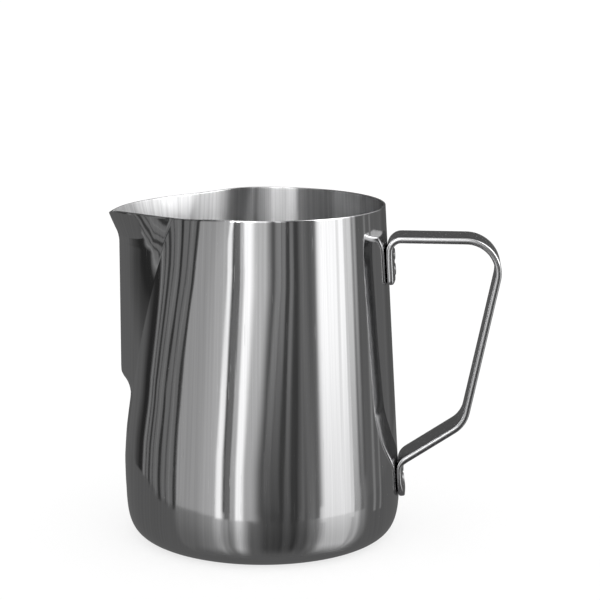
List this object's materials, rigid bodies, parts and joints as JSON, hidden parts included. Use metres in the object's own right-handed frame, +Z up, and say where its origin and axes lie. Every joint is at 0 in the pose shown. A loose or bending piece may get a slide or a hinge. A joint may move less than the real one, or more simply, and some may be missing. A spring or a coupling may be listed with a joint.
{
  "type": "milk frothing pitcher",
  "caption": "Open steel frothing pitcher with tapered round cup, pressed V-shaped pouring spout, rounded base corner and a bent flat-strap handle welded to the wall.",
  "frame": {"origin": "on the cup's axis, in the plane of the flat ring that the cup stands on", "axes": "+Z up along the cup's axis, -X towards the pouring spout, +X towards the handle; the object is symmetric about the plane Y = 0"},
  "size_m": [0.1286, 0.091, 0.1101],
  "materials": {
    "cup_steel": "polished sheet with fine vertical brushing",
    "strap_steel": "satin strap with bright rounded edges",
    "weld_steel": "satin spot weld"
  },
  "bodies": {
    "root": {"pitcher_body": "cup_steel", "handle": "strap_steel", "upper_tab_welds": "weld_steel", "lower_tab_welds": "weld_steel"}
  },
  "joints": []
}
